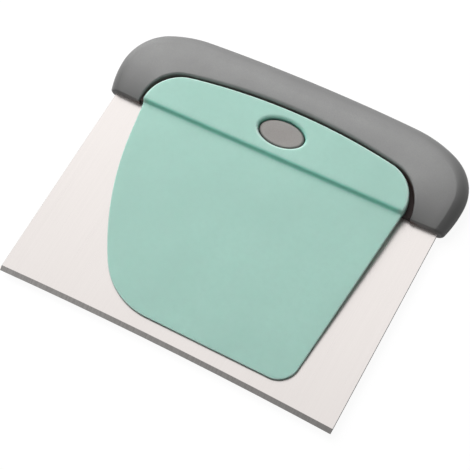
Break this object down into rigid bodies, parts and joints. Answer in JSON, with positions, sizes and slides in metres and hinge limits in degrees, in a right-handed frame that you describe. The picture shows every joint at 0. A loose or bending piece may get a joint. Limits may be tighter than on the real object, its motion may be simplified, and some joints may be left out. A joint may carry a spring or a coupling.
{
  "type": "bowl scraper",
  "caption": "Flexible bowl scraper with a thick grip, snapped over an oval stud in the arched soft handle of a stainless bench scraper with a bevelled edge.",
  "frame": {"origin": "middle of the overall box in plan, at the height of the handle's flat back", "axes": "+X along the cutting edge, +Y from the cutting edge to the handle, +Z out of the front face, towards the bowl scraper"},
  "size_m": [0.1598, 0.1308, 0.014],
  "materials": {
    "blade": "brushed, ground bevel",
    "front_core": "fine matt texture",
    "back_core": "fine matt texture",
    "core_rivets": "plain",
    "soft_grip": "soft matt",
    "stud": "soft matt",
    "bowl_scraper": "satin, slightly cloudy"
  },
  "bodies": {
    "bench_scraper": {"blade": "blade", "front_core": "front_core", "back_core": "back_core", "core_rivets": "core_rivets", "soft_grip": "soft_grip", "stud": "stud"},
    "flexible_scraper": {"bowl_scraper": "bowl_scraper"}
  },
  "joints": [
    {"name": "scraper_lift", "type": "slide", "parent": "bench_scraper", "child": "flexible_scraper", "axis": [0, 0, 1], "range_m": [0, 0.04]}
  ]
}
